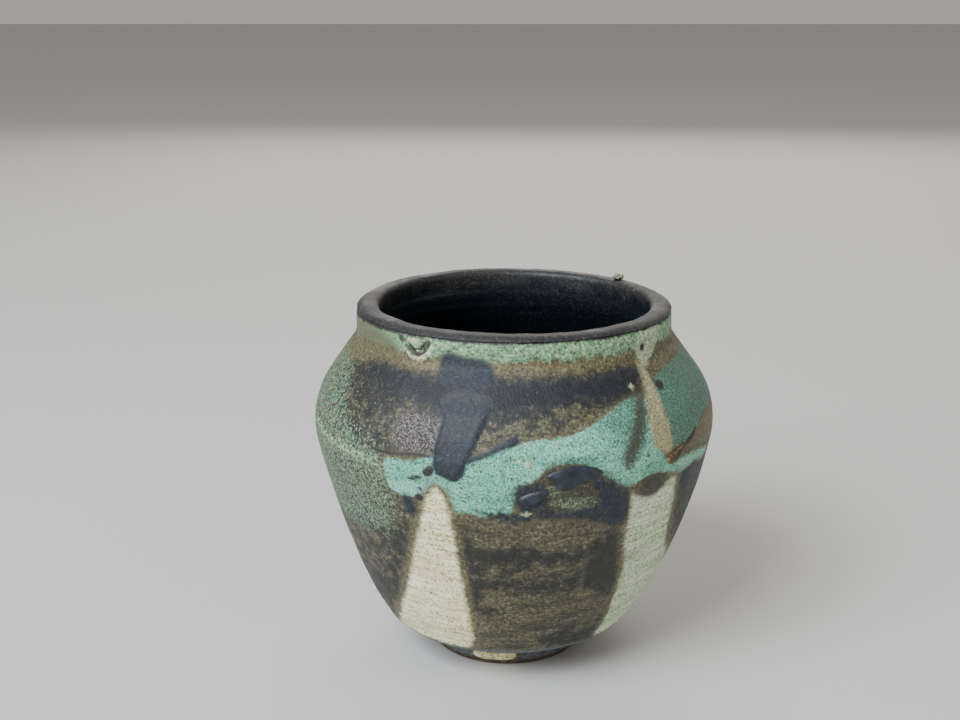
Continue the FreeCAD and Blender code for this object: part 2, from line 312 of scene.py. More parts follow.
# fired clay with iron: warm brown, dry, with grog 1 mm across and darker toasted patches
clay, tree, shader = new_material("bare_fired_stoneware")
place = add(tree, "TexCoord").outputs["Object"]
grog = add(tree, "TexNoise", {"Vector": place, "Scale": 1 / (1.1 * MM), "Detail": 4, "Roughness": 0.65})
toast = add(tree, "TexNoise", {"Vector": place, "Scale": 1 / (12 * MM), "Detail": 3})
grog_tone = add(tree, "ValToRGB", {"Fac": grog.outputs["Fac"]}, stops=[
    (0.36, "#2c221a"), (0.50, "#4d3d2e"), (0.66, "#6f5b45")])
toast_cover = add(tree, "MapRange", {"Value": toast.outputs["Fac"], "From Min": 0.45, "From Max": 0.62,
                                     "To Max": 0.6})
clay_tone = add(tree, "Mix", {0: toast_cover.outputs[0], 6: grog_tone.outputs["Color"],
                              7: linear("#43352b")}, data_type="RGBA")
tree.links.new(clay_tone.outputs[2], shader.inputs["Base Color"])
shader.inputs["Roughness"].default_value = 0.85
grit = add(tree, "Bump", {"Height": grog.outputs["Fac"], "Strength": 0.6, "Distance": 0.3 * MM})
tree.links.new(grit.outputs["Normal"], shader.inputs["Normal"])

for piece, nodes in ((thrown_clay, ("thrown_body", "collar")), (foot_clay, ("foot_ring",))):
    settle(piece)
    finish_shape(piece)
    piece.data.materials.append(clay)
    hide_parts(*nodes)
    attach(piece, "root")

# ---------------------------------------------------------------- the liner glaze
# A dark glaze poured in and swirled out again, wiped over the lip so that it laps the collar. It
# follows the rings that the fingers left inside. Fired, it is near black, brown where it thinned.
lip_seam = 38.0
glaze_thickness = 0.5 * MM
lined_inset = 6.0 * MM
inner_lip_round = 1.3 * MM
LINER_STEPS = 288

lined_wall = wall_outline(lined_inset, 1.2 * MM, 90)
lip_top_width = lined_inset - inner_lip_round - lip_round
lip_run = draw_wall(lined_wall[-1], 90, [
    (None, lip_round - inner_lip_round), (inner_lip_round, -90), (None, lip_top_width),
    (lip_round, lip_seam - 90)], 0.45 * MM)
floor_run = draw_wall((0, lined_wall[0].y), 0, [(None, lined_wall[0].x)], 2.5 * MM)
liner = throw("liner_glaze", floor_run + lined_wall[1:] + lip_run[1:], LINER_STEPS)
# the pot is lined from within, so the glazed side is the one that faces the axis and the sky
bpy.ops.object.mode_set(mode="EDIT")
bpy.ops.mesh.select_all(action="SELECT")
bpy.ops.mesh.normals_make_consistent(inside=True)
bpy.ops.object.mode_set(mode="OBJECT")
# finger rings rise in one spiral inside the mouth; a fine line runs round the throat
finger_width = 4.6
ring_rise = 0.35 * MM
throat_height = 99.4
throat_depth = 0.5 * MM
turns, heights, radii = places(liner)
within = radii < 44 * MM
rings = 0.5 + 0.5 * np.sin(2 * math.pi * heights / finger_width + 1.5 * np.sin(heights / 7)
                           + np.radians(turns))
push(liner, "finger_rings", rings * within * smooth((103 - heights) / 2), ring_rise)
push(liner, "throat_line", np.exp(-((heights - throat_height) / 0.5) ** 2) * within, -throat_depth)
lumpy(liner, 14 * MM, 0.5 * MM)
lumpy(liner, 4 * MM, 0.16 * MM)
settle(liner)
thicken = liner.modifiers.new("coat", "SOLIDIFY")
thicken.thickness = glaze_thickness
thicken.offset = -1
bpy.ops.object.modifier_apply(modifier="coat")
finish_shape(liner)

# dark iron glaze: blue-black and half glossy, breaking to a dry brown speckle over the lip
dark, tree, shader = new_material("dark_liner_glaze")
place = add(tree, "TexCoord").outputs["Object"]
speckle = add(tree, "TexNoise", {"Vector": place, "Scale": 1 / (0.9 * MM), "Detail": 3, "Roughness": 0.65})
cloud = add(tree, "TexNoise", {"Vector": place, "Scale": 1 / (13 * MM), "Detail": 4, "Roughness": 0.6})
thick_tone = add(tree, "ValToRGB", {"Fac": speckle.outputs["Fac"]}, stops=[
    (0.35, "#090d11"), (0.55, "#131a21"), (0.75, "#2a3238")])
thin_tone = add(tree, "ValToRGB", {"Fac": speckle.outputs["Fac"]}, stops=[
    (0.38, "#0f1114"), (0.52, "#1c1f20"), (0.64, "#36332b"), (0.78, "#6f6c5a")])
up = add(tree, "SeparateXYZ", {"Vector": place}).outputs["Z"]
thinned = add(tree, "MapRange", {"Value": up, "From Min": 0.1005, "From Max": 0.1068, "To Min": -0.18,
                                 "To Max": 0.14})
thin_share = add(tree, "Math", {0: cloud.outputs["Fac"], 1: thinned.outputs[0]}, operation="ADD")
thin_cover = add(tree, "MapRange", {"Value": thin_share.outputs[0], "From Min": 0.46, "From Max": 0.66})
dark_tone = add(tree, "Mix", {0: thin_cover.outputs[0], 6: thick_tone.outputs["Color"],
                              7: thin_tone.outputs["Color"]}, data_type="RGBA")
tree.links.new(dark_tone.outputs[2], shader.inputs["Base Color"])
gloss = add(tree, "MapRange", {"Value": thin_cover.outputs[0], "To Min": 0.38, "To Max": 0.62})
tree.links.new(gloss.outputs[0], shader.inputs["Roughness"])
shader.inputs["IOR"].default_value = 1.52
grit = add(tree, "Bump", {"Height": speckle.outputs["Fac"], "Strength": 0.5, "Distance": 0.25 * MM})
tree.links.new(grit.outputs["Normal"], shader.inputs["Normal"])

liner.data.materials.append(dark)
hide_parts("inside_glaze")
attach(liner, "root")

# ---------------------------------------------------------------- the outer glaze: shape
# The fired coat over the outside, from the foot's side to the turn of the lip, a skin half a
# millimetre thick. It carries what was poured and brushed over it: the dark shoulder pour with
# its run, the turquoise pool under it, and the cream stripes between the brown panels.
POT_STEPS = 512
skin = 0.6 * MM

foot_radius = clay_foot_radius + 0.5 * MM
foot_bead = draw_wall((foot_radius - 0.5 * MM, 1.3 * MM), 40,
                      [(1.9 * MM, 118), (0.7 * MM, -150)], 0.5 * MM)
wall = wall_outline(0, 0.85 * MM)
lip_turn = draw_wall(wall[-1], 90, [(lip_round, lip_seam)], 0.6 * MM)
outer_run = foot_bead + wall + lip_turn[1:]
lip_back = draw_wall((collar_radius - skin, lip_height - lip_round), 90,
                     [(lip_round - skin, lip_seam)], 2 * MM)
inner_run = wall_outline(skin, 8 * MM) + lip_back[1:]
foot_back = [Vector((foot_radius - 2 * skin, height)) for height in (1.3 * MM, 5.6 * MM)]
outer = throw("outer_glaze", outer_run + inner_run[::-1] + foot_back[::-1] + [outer_run[0]], POT_STEPS)
settle(outer)

# Where each glaze lies. An outline is a list of turns round the pot, in degrees from the front
# to the right, and heights in millimetres. What faces away repeats the front, mirrored, narrower
# and leaning, except for the marks that only one place has.
front = {
    "cream": [
        [(-22.6, 69.2), (-19.4, 69.8), (-17.2, 65), (-16.2, 52), (-15.6, 30), (-15.4, 9), (-52, 9),
         (-64, 12), (-54, 17), (-45, 25), (-37.5, 35), (-31.4, 46), (-27.4, 56), (-25, 63)],
    ],
    "sage": [
        [(32, 66.6), (32.6, 58), (33.4, 48), (36.4, 40), (37.2, 30), (38, 20), (38, 8), (80, 8),
         (96, 17), (76, 29), (64, 37), (57, 43), (54, 50), (52.4, 60), (50.5, 66.6), (46, 66),
         (41, 62.4), (36, 63.6)],
    ],
    "turquoise": [
        [(-36, 74.4), (-33, 75.6), (-27, 75.2), (-24.4, 77.2), (-21, 77.4), (-12, 77.5), (-8, 79.2),
         (-4, 81.2), (3, 82.2), (9, 82.7), (15, 83.2), (21, 85.4), (28, 88.2), (35, 90), (41.6, 91),
         (43, 88), (42, 82), (40.6, 77.6), (42, 75.4), (44.5, 72), (50, 71), (62, 70.6), (72, 68.5),
         (70, 65.8), (60, 67), (51, 66), (44, 69), (38, 69.4), (31, 66.5), (25, 70), (19, 76),
         (12, 76.4), (7.5, 75), (5, 71.5), (1, 70.5), (0, 66), (-0.5, 61.8), (-4, 62.4), (-8, 60.8),
         (-12, 62.6), (-15.8, 61.8), (-17, 67), (-20, 70.4), (-23, 66.6), (-27, 65), (-34.5, 65.2),
         (-35.5, 70)],
    ],
    "teal": [
        [(48, 93.4), (56, 94.3), (66, 95), (80, 95.5), (98, 95), (104, 88), (96, 81), (82, 80.5),
         (72, 80.4), (65, 79.6), (60, 77.4), (54, 75.4), (49, 74.2), (45.6, 76), (46, 86)],
    ],
    "deep": [
        [(20, 92), (24, 84), (30, 78), (34, 76), (42, 92)],
    ],
    "tan": [
        [(44.8, 98.6), (46.4, 96.4), (48, 93.4), (46.8, 88), (46.6, 80), (47.4, 76), (45.6, 73.4),
         (42.6, 75), (39, 76.8), (38.8, 81), (40, 87), (41.2, 91), (43.6, 96)],
    ],
    "mottle": [
        [(-37, 76), (-35.6, 66), (-37, 55), (-48, 52), (-62, 50), (-80, 54), (-96, 60), (-100, 80),
         (-96, 96), (-72, 99), (-64, 93), (-58, 84), (-52, 79)],
    ],
    "collar_brown": [
        [(-100, 105), (-62, 105.6), (-50, 104), (-44, 101), (-42, 97), (-100, 97)],
    ],
    "collar_pale": [
        [(45, 107), (45.4, 99), (47, 96), (51, 96.6), (58, 99.6), (62, 107)],
    ],
    "rust": [
        [(-84, 98.6), (-62, 100), (-50, 101.4), (-36, 99.6), (-26, 100.2), (-6, 100.8), (10, 100.8),
         (24, 100.4), (40, 100.6), (46, 99), (45, 97), (10, 96.4), (-30, 96.2), (-84, 96)],
        [(49, 95.8), (56, 98), (70, 98.6), (90, 98), (92, 95.2), (66, 94.8), (54, 94)],
        [(52, 75.2), (58, 77.2), (66, 79.8), (80, 80.8), (94, 80), (90, 73), (76, 72), (64, 71.8),
         (56, 72.6)],
    ],
    # a painted sheen of the window light on the brown glaze, not a glaze of its own
    "painted_sheen": [
        [(-34, 86), (-28, 88.4), (-20, 87.6), (-18.8, 82), (-20.6, 77.8), (-28, 77.6), (-33, 79.4)],
    ],
    "toasted": [
        [(-100, 54), (-60, 52), (-40, 54), (-31, 52), (-42, 34), (-60, 18), (-100, 20)],
        [(-10, 85), (4, 85), (20, 87), (34, 91), (30, 92), (10, 90), (-8, 89)],
        [(-66, 98), (-40, 97), (-32, 92), (-33, 80), (-42, 77), (-58, 80), (-68, 88)],
    ],
    "burnt": [
        [(22, 47), (24, 52), (32.4, 52.4), (34.4, 46), (37.4, 39), (37.2, 33), (33, 30), (27, 32.4),
         (21, 37), (19.6, 41)],
        [(-14.6, 56), (-11, 55), (-9.6, 44), (-10, 30), (-14, 29), (-14.8, 42)],
        [(-14, 50.6), (0, 51.4), (14, 49.4), (24, 51), (24, 44), (10, 45.4), (0, 44), (-14, 45)],
        [(-14, 41.4), (-4, 42), (6, 39.4), (20, 42), (22, 36), (6, 36), (-6, 37), (-14, 35.8)],
        [(-14, 30.6), (-6, 30.4), (-5, 28.4), (-14, 28.4)],
        [(8, 18), (18, 19.6), (30, 18.4), (36, 22), (38, 12), (10, 13)],
        [(-60, 33.4), (-43, 34), (-44.6, 29), (-52, 23), (-58, 19), (-64, 15.6), (-80, 10),
         (-110, 12), (-104, 34), (-80, 36)],
        [(-46, 41), (-37.4, 44.4), (-36, 41.6), (-41, 36.6), (-46, 35)],
        [(-40, 52), (-32, 56), (-30.4, 52.4), (-34, 46), (-39, 44)],
        [(53, 66), (60, 68), (74, 66), (96, 62), (104, 44), (96, 34), (78, 33), (68, 39.4),
         (60, 45), (56.4, 52), (54, 60)],
        [(-58, 97.4), (-46, 97.2), (-36, 96), (-30, 90), (-40, 84), (-54, 88), (-62, 93)],
    ],
    "stain": [
        [(28.8, 73.6), (31.4, 72.2), (34, 76.4), (36.6, 80.6), (39.6, 86), (42, 91.4), (38, 91.4),
         (35, 86), (32.2, 81), (29.6, 77)],
        [(0.4, 70.8), (6.4, 71.6), (8, 75.2), (13, 76.4), (19, 75.6), (23.4, 72.6), (29, 68.8),
         (32, 63.8), (32.6, 58), (30, 54.2), (22, 58.8), (14, 60.4), (4, 61.4), (0.6, 64),
         (0.4, 67)],
        [(34.6, 66.2), (36.6, 68.4), (41, 69), (45.2, 67.4), (44.6, 64), (41, 62.4), (37, 63)],
        [(44, 72.6), (46, 73.6), (50, 74.8), (53, 75.4), (50, 73), (47, 71.6)],
    ],
    "pour": [
        [(-58, 97.2), (-40, 97), (-25, 96.6), (-7, 97), (10, 97.1), (30, 97.2), (43.6, 98),
         (43.8, 94), (41.4, 90.6), (36, 90.4), (20, 90.2), (8, 89), (-4, 88), (-12, 86), (-22, 87),
         (-32, 90.6), (-42, 92), (-54, 94)],
    ],
    "run": [
        [(-23, 92), (-14, 94), (-5.6, 92), (-7, 88.2), (-9, 84), (-10.4, 80), (-12.2, 76.4),
         (-12.6, 73.6), (-15.2, 71.2), (-18, 72.3), (-20.6, 72.8), (-21.2, 77), (-20.4, 83),
         (-19.6, 88)],
        [(-13, 77.8), (-9.6, 78.9), (-6.2, 80.2), (-4, 81.8), (-0.8, 83.6), (1.8, 82.8), (0.2, 81),
         (-3, 80.5), (-5.8, 79), (-9, 77.6), (-12.6, 76)],
    ],
    "collar_run": [
        [(-24.8, 94), (-25.6, 100.8), (-22.4, 103.2), (-18, 101.8), (-13, 101.6), (-8, 100.8),
         (-6, 97), (-6, 94)],
    ],
    "dark_pool": [
        [(20, 70.6), (24, 71), (29, 68), (32, 63.8), (32.6, 58), (30, 54.6), (26.6, 57), (21, 60.4),
         (15, 62.2), (21, 64.4), (24, 67)],
        [(0.6, 70.4), (6, 70.6), (9, 69), (8.4, 65), (5, 62.6), (1, 63.4), (0.2, 67)],
        [(-10, 62.8), (-6, 61), (-2, 59.8), (2, 60.6), (14, 61), (23, 59), (23, 61.4), (14, 62.8),
         (5, 62.8), (0, 62.4), (-5, 63.3)],
        [(53, 66), (56, 67.8), (62, 66.6), (65, 63), (62, 59.4), (57, 60), (54, 62.6)],
        [(-31.8, 63.8), (-29, 65.4), (-27.2, 62.6), (-28.8, 58.4), (-31.4, 60.8)],
    ],
    "olive": [
        [(8.6, 70.6), (11, 68.4), (15, 68.2), (19, 66.4), (22.6, 64.4), (17, 62.8), (11.6, 64),
         (8.6, 66.4)],
    ],
    "ink": [
        [(-27, 65.6), (-25.6, 66.9), (-24.2, 65.8), (-24.6, 64.2), (-26.4, 64.2)],
        [(-25.6, 68.6), (-24.4, 68.9), (-24.2, 67.4), (-25.4, 67.3)],
        [(-29, 70.8), (-26, 72), (-23.8, 72.1), (-24.4, 71), (-27.4, 70.1)],
        [(-24.2, 73.6), (-21.6, 75.6), (-20.4, 74), (-21.6, 71.8), (-24, 72)],
        [(-41, 77.2), (-34, 77), (-28, 77.7), (-21.2, 78.1), (-21.2, 77.2), (-28, 76.7),
         (-34, 76.1), (-41, 76.3)],
        [(47.4, 101.4), (48.8, 102.6), (50.4, 101.6), (49.8, 100.1), (48, 100.1)],
        [(47.6, 91.6), (49.6, 92.7), (52, 91.8), (51, 90), (48.4, 89.8)],
        [(36.6, 75.6), (37.6, 76), (38, 74.9), (36.8, 74.5)],
        [(50, 73.6), (54, 75.6), (58, 77.2), (61.4, 78.6), (58.4, 75.6), (54, 73.8)],
    ],
    "ridge": [
        [(-74, 76.6), (-63, 75.3), (-54, 74.7), (-46, 73.9), (-37, 73.3), (-37, 72.3), (-46, 72.7),
         (-54, 73.4), (-63, 74.1), (-74, 75.6)],
    ],
    "scar": [
        [(-40, 101.6), (-36.8, 99.8), (-34.6, 99.2), (-31.8, 99.6), (-29.2, 101.6), (-26.6, 104.6),
         (-28.2, 105), (-30.4, 102.2), (-32.6, 100.9), (-35, 100.7), (-38, 102.2)],
        [(-39.6, 104.8), (-36, 103.6), (-33.6, 103.9), (-32, 105.2), (-36, 105.8)],
        [(1, 62.3), (2.6, 62.9), (4.6, 62.6), (4, 61.9), (2, 61.8)],
        [(0.2, 77.8), (1.2, 78.3), (2, 77.4), (1.2, 76.8)],
        [(2.6, 77.4), (3.6, 78.3), (4.4, 77), (4.1, 75.2), (3, 75.5)],
        [(36.6, 92.4), (37.6, 93.4), (38.8, 92.4), (37.6, 91.4)],
    ],
    "groove": [
        [(-43.4, 105), (-39, 102.6), (-36.4, 101.2), (-34.4, 100.7), (-32.4, 101.3), (-30.4, 102.9),
         (-29, 105), (-30.8, 105.2), (-32, 103.9), (-33.6, 102.6), (-35, 102.3), (-37.4, 103.2),
         (-41.6, 105.6)],
    ],
    "foot_cream": [
        [(-28, 9.2), (-10, 9.4), (4, 8.8), (2, 5.6), (0.5, 1), (-30, 1), (-30, 5.6)],
    ],
}
side_stripe = [(-92, 66), (-86, 64), (-84, 45), (-80, 27), (-75, 9), (-98, 9), (-95, 30), (-94, 48)]
single_marks = ("scar", "groove", "ink", "painted_sheen")
# patchy all over, so their depth stops where the grain still breaks them up
patchy = ("mottle", "toasted", "collar_brown")
shallow = 0.5
BACK = 180
BACK_WIDTH = 0.94
BACK_LEAN = -0.3
LEAN_HEIGHT = 60
MM_PER_DEGREE = 0.95
FAR = 12.0


def rounded(outline):
    """The outline with its corners cut twice, as a running glaze rounds them."""
    points = np.array(outline, float)
    for _ in range(2):
        after = np.roll(points, -1, axis=0)
        points = np.stack([points * 0.75 + after * 0.25, points * 0.25 + after * 0.75], 1).reshape(-1, 2)
    return points


def depth_inside(outlines, turns, heights):
    """Millimetres inside (+) or outside (-) the nearest of some outlines, for each point."""
    deepest = np.full(len(turns), -FAR)
    for outline in outlines:
        corners = rounded(outline)
        middle_turn = corners[:, 0].mean()
        x = (turns - middle_turn + 180) % 360 - 180
        px = corners[:, 0] - middle_turn
        py = corners[:, 1]
        near = np.nonzero((x > px.min() - FAR) & (x < px.max() + FAR)
                          & (heights > py.min() - FAR) & (heights < py.max() + FAR))[0]
        ax, ay = px * MM_PER_DEGREE, py
        bx, by = np.roll(ax, -1), np.roll(ay, -1)
        qx, qy = x[near][:, None] * MM_PER_DEGREE, heights[near][:, None]
        along = np.clip(((qx - ax) * (bx - ax) + (qy - ay) * (by - ay))
                        / ((bx - ax) ** 2 + (by - ay) ** 2), 0, 1)
        gap = np.hypot(qx - ax - along * (bx - ax), qy - ay - along * (by - ay)).min(1)
        crossings = ((ay > qy) != (by > qy)) & (qx < ax + (qy - ay) * (bx - ax) / (by - ay + 1e-9))
        inside = crossings.sum(1) % 2 == 1
        deepest[near] = np.maximum(deepest[near], np.where(inside, gap, -gap))
    return deepest


def keep(piece, name, values):
    """Stores one number for each point of a piece."""
    piece.data.attributes.new(name, "FLOAT", "POINT").data.foreach_set("value", values.astype(np.float32))


turns, heights, radii = places(outer)
depths = {}
for name, outlines in front.items():
    laid = list(outlines)
    if name not in single_marks:
        laid += [[(BACK - BACK_WIDTH * turn + BACK_LEAN * (height - LEAN_HEIGHT), height)
                  for turn, height in outline] for outline in outlines]
    if name == "cream":
        laid.append(side_stripe)
    depths[name] = depth_inside(laid, turns, heights)
    if name in patchy:
        depths[name] = np.minimum(depths[name], shallow)
    keep(outer, name, depths[name])
keep(outer, "height", heights)

# How far each area stands out (+) or is sunk (-), over how many millimetres its edge rises, and
# how much of the rise is outside its outline.
raised = {
    "pour": (0.25, 4, 0.5),
    "dark_pool": (0.22, 2, 0),
    "collar_run": (0.12, 1.5, 0),
    "turquoise": (0.16, 1.2, 0),
    "scar": (0.45, 0.5, 0.5),
    "ridge": (0.4, 0.6, 0.5),
    "ink": (0.35, 1, 0),
    "groove": (-0.7, 0.6, 0.5),
    "cream": (-0.12, 1.5, 0),
    "sage": (-0.12, 1.5, 0),
}
relief = sum(rise * smooth(depths[name] / over + outside) for name, (rise, over, outside) in raised.items())


def bump_at(values, middle, width):
    """One where the values are at the middle, falling to nought on both sides."""
    return np.exp(-((values - middle) / width) ** 2)


# the run has a thick body and a bead along its edge, and both fade out up in the shoulder pour;
# the turquoise pool has a thinner bead
run_body, run_bead, pool_bead = 0.45, 0.16, 0.10
run_gone_at, run_fades_over = 92, 6
run_relief = run_body * smooth(depths["run"] / 1.2) + run_bead * bump_at(depths["run"], 1.2, 0.8)
relief += run_relief * smooth((run_gone_at - heights) / run_fades_over)
relief += pool_bead * bump_at(depths["turquoise"], 0.7, 0.6)
# throwing lines 1.9 mm apart below the shoulder, deepest on the lower wall
line_spacing, line_rise, lines_up_to = 1.9, 0.055, 96
lines = np.sin(2 * math.pi * (heights / line_spacing + 0.35 * np.sin(heights / 5.3)))
lined = smooth((heights - 11) / 4) * (1 - smooth((heights - 32) / 14)) + 0.2
relief += line_rise * lined * lines * (heights < lines_up_to)
# the roll of glaze that stopped above the foot, and the groove that the foot was turned with
roll_height, roll_rise, foot_groove_height, foot_groove = 12.0, 0.5, 6.6, 0.8
relief += roll_rise * bump_at(heights, roll_height, 1.5)
relief -= foot_groove * bump_at(heights, foot_groove_height, 1.5)
most_relief = 1.6
push(outer, "raised_glaze", np.clip(relief, 0, most_relief) / most_relief, most_relief * MM)
push(outer, "sunk_glaze", np.clip(-relief, 0, most_relief) / most_relief, -most_relief * MM)
for lump_size, lump_rise in ((9 * MM, 0.3 * MM), (3 * MM, 0.12 * MM)):
    lumpy(outer, lump_size, lump_rise)
finish_shape(outer)

# ---------------------------------------------------------------- the outer glaze: finish
# Stoneware glazes fired in reduction: satin, grainy, speckled by the iron in the clay, with
# pinholes, and with a burnt gold-brown halo where a pale glaze thins out over a dark one.
glaze, tree, shader = new_material("reduction_fired_stoneware_glaze")
place = add(tree, "TexCoord").outputs["Object"]
# what the noises stand for, in real sizes; the streaks are as high as this and seven times longer
grit_size = 0.5 * MM
speckle_size = 0.9 * MM
grain_size = 3 * MM
blotch_size = 10 * MM
streak_size = 3.2 * MM
grit, speckle, grain, blotch = [
    add(tree, "TexNoise", {"Vector": place, "Scale": 1 / size, "Detail": detail,
                           "Roughness": rough}).outputs["Fac"]
    for size, detail, rough in ((grit_size, 1, 0.6), (speckle_size, 4, 0.8), (grain_size, 5, 0.66),
                                (blotch_size, 4, 0.6))]
flat_place = add(tree, "Mapping", {"Vector": place, "Scale": (0.14, 0.14, 1)})
streak = add(tree, "TexNoise", {"Vector": flat_place.outputs[0], "Scale": 1 / streak_size, "Detail": 5,
                                "Roughness": 0.68}).outputs["Fac"]
high = add(tree, "Attribute", attribute_name="height").outputs["Fac"]


def lay(tree, under, over, area, soft, ragged, noise, grow=0.0, most=1.0):
    """Lays one glaze over another inside an area, grown by some mm. The edge fades over soft mm
    and wanders by ragged mm with the noise."""
    depth = add(tree, "Attribute", attribute_name=area).outputs["Fac"]
    wander = add(tree, "Math", {0: noise, 1: 2 * ragged, 2: grow - ragged},
                 operation="MULTIPLY_ADD")
    edge = add(tree, "Math", {0: depth, 1: wander.outputs[0]}, operation="ADD")
    cover = add(tree, "MapRange", {"Value": edge.outputs[0], "From Min": -soft / 2, "From Max": soft / 2,
                                   "To Max": most}, interpolation_type="SMOOTHSTEP").outputs[0]
    mixed = add(tree, "Mix", {0: cover, 6: under, 7: over}, data_type="RGBA").outputs[2]
    return mixed, cover


def lay_above(tree, under, over, height, ragged, start, end):
    """Lays one glaze over another above a height, which the grain raises by up to ragged mm. The
    cover begins at start mm from there and is full at end mm; with end below start it lies under."""
    edge = add(tree, "Math", {0: grain, 1: ragged, 2: height}, operation="MULTIPLY_ADD")
    above = add(tree, "Math", {0: high, 1: edge.outputs[0]}, operation="SUBTRACT")
    cover = add(tree, "MapRange", {"Value": above.outputs[0], "From Min": start, "From Max": end})
    return add(tree, "Mix", {0: cover.outputs[0], 6: under, 7: over}, data_type="RGBA").outputs[2]


# iron brown with pale specks, and the same glaze burnt dark in streaks and patches
iron = add(tree, "ValToRGB", {"Fac": speckle}, stops=[
    (0.34, "#25241d"), (0.46, "#47432f"), (0.57, "#625d42"), (0.70, "#9c9877")]).outputs["Color"]
iron_dark = add(tree, "ValToRGB", {"Fac": speckle}, stops=[
    (0.36, "#111314"), (0.52, "#20211e"), (0.66, "#3d392a"), (0.78, "#6f6a4e")]).outputs["Color"]
streak_cover = add(tree, "MapRange", {"Value": streak, "From Min": 0.50, "From Max": 0.64,
                                      "To Max": 0.8})
colour = add(tree, "Mix", {0: streak_cover.outputs[0], 6: iron, 7: iron_dark}, data_type="RGBA").outputs[2]
colour, _ = lay(tree, colour, iron_dark, "toasted", 7.0, 16.0, grain, 0.0, 0.9)
colour, _ = lay(tree, colour, iron_dark, "burnt", 4.5, 8.0, grain)

# green grains in the brown: thick on the left, thin over all the shoulder
grains = add(tree, "ValToRGB", {"Fac": grit}, stops=[
    (0.38, "#405a44"), (0.52, "#628568"), (0.70, "#91b08a")]).outputs["Color"]
shoulder_share = add(tree, "MapRange", {"Value": high, "From Min": 46, "From Max": 72, "To Min": -0.14,
                                        "To Max": 0.0})
grain_level = add(tree, "Math", {0: speckle, 1: shoulder_share.outputs[0]}, operation="ADD")
thin_grains = add(tree, "MapRange", {"Value": grain_level.outputs[0], "From Min": 0.58, "From Max": 0.68,
                                     "To Max": 0.8})
colour = add(tree, "Mix", {0: thin_grains.outputs[0], 6: colour, 7: grains}, data_type="RGBA").outputs[2]
colour, _ = lay(tree, colour, grains, "mottle", 3.0, 24.0, speckle, -0.5)

# gold-brown where glazes thin out, and the grey patch beside the run, a painted window sheen
gold = add(tree, "ValToRGB", {"Fac": speckle}, stops=[
    (0.34, "#352e1b"), (0.50, "#615a3b"), (0.68, "#8d8864")]).outputs["Color"]
colour, _ = lay(tree, colour, gold, "rust", 2.4, 4.0, grain)
# painted sheen: the window light on the brown glaze beside the run, laid in as a grey colour
painted_sheen = add(tree, "ValToRGB", {"Fac": grit}, stops=[
    (0.38, "#18181d"), (0.50, "#474341"), (0.62, "#7d766d")]).outputs["Color"]
colour, _ = lay(tree, colour, painted_sheen, "painted_sheen", 4.0, 4.0, speckle)

# celadon on the collar, above the gold-brown band, and browner at the left
collar_glaze_from = 97.6
celadon = add(tree, "ValToRGB", {"Fac": speckle}, stops=[
    (0.36, "#34472c"), (0.46, "#5a8a64"), (0.55, "#80a67d"), (0.64, "#ccd2a4")]).outputs["Color"]
colour = lay_above(tree, colour, celadon, collar_glaze_from, 7.0, -0.8, 1.0)
brown = add(tree, "Mix", {0: 0.3, 6: gold, 7: iron_dark}, data_type="RGBA").outputs[2]
colour, _ = lay(tree, colour, brown, "collar_brown", 3.0, 14.0, speckle, 0.8)

# the turquoise pool, the teal panel and the tan strip between them
colour, _ = lay(tree, colour, gold, "turquoise", 1.6, 2.0, grain, 0.7, 0.7)
brushed = add(tree, "Math", {0: streak, 1: 0.5, 2: -0.25}, operation="MULTIPLY_ADD")
brushed_grit = add(tree, "Math", {0: grit, 1: brushed.outputs[0]}, operation="ADD")
turquoise = add(tree, "ValToRGB", {"Fac": brushed_grit.outputs[0]}, stops=[
    (0.28, "#295c4a"), (0.42, "#549880"), (0.57, "#78ba9f"), (0.76, "#a6dac2")]).outputs["Color"]
deep_turquoise = add(tree, "ValToRGB", {"Fac": grit}, stops=[
    (0.34, "#23493c"), (0.50, "#3f705e"), (0.68, "#6a9c87")]).outputs["Color"]
turquoise, _ = lay(tree, turquoise, deep_turquoise, "deep", 8.0, 4.0, grain, 0.0, 0.75)
colour, _ = lay(tree, colour, turquoise, "turquoise", 1.0, 1.6, grain)
teal = add(tree, "ValToRGB", {"Fac": grit}, stops=[
    (0.34, "#2f5043"), (0.50, "#466c5c"), (0.68, "#648d7c")]).outputs["Color"]
colour, _ = lay(tree, colour, teal, "teal", 1.2, 1.0, grain)
tan = add(tree, "ValToRGB", {"Fac": grit}, stops=[
    (0.36, "#6e7454"), (0.50, "#95936d"), (0.64, "#b5ab84")]).outputs["Color"]
colour, _ = lay(tree, colour, tan, "tan", 2.0, 1.6, grain)

# the cream and sage stripes, with the gold-brown halo at their edges, faint wheel lines and pits
line_size = 1.1 * MM
fine_place = add(tree, "Mapping", {"Vector": place, "Scale": (0.09, 0.09, 1)})
wheel_lines = add(tree, "TexNoise", {"Vector": fine_place.outputs[0], "Scale": 1 / line_size,
                                     "Detail": 2}).outputs["Fac"]
stripe_noise = add(tree, "Math", {0: wheel_lines, 1: 0.32, 2: -0.16},
                   operation="MULTIPLY_ADD")
stripe_grit = add(tree, "Math", {0: grit, 1: 0.5, 2: stripe_noise.outputs[0]},
                  operation="MULTIPLY_ADD")
stripe_level = add(tree, "Math", {0: speckle, 1: 0.6, 2: stripe_grit.outputs[0]},
                   operation="MULTIPLY_ADD")
cream = add(tree, "ValToRGB", {"Fac": stripe_level.outputs[0]}, stops=[
    (0.42, "#857a4b"), (0.49, "#cfc992"), (0.56, "#efeabd"), (0.64, "#fffce0")]).outputs["Color"]
warm_share = add(tree, "MapRange", {"Value": blotch, "From Min": 0.48, "From Max": 0.66,
                                    "To Max": 0.35})
cream = add(tree, "Mix", {0: warm_share.outputs[0], 6: cream, 7: linear("#c9bd86")},
            data_type="RGBA").outputs[2]
sage = add(tree, "ValToRGB", {"Fac": stripe_level.outputs[0]}, stops=[
    (0.42, "#60724f"), (0.49, "#9fb189"), (0.57, "#c0d0ab"), (0.66, "#e2ebce")]).outputs["Color"]
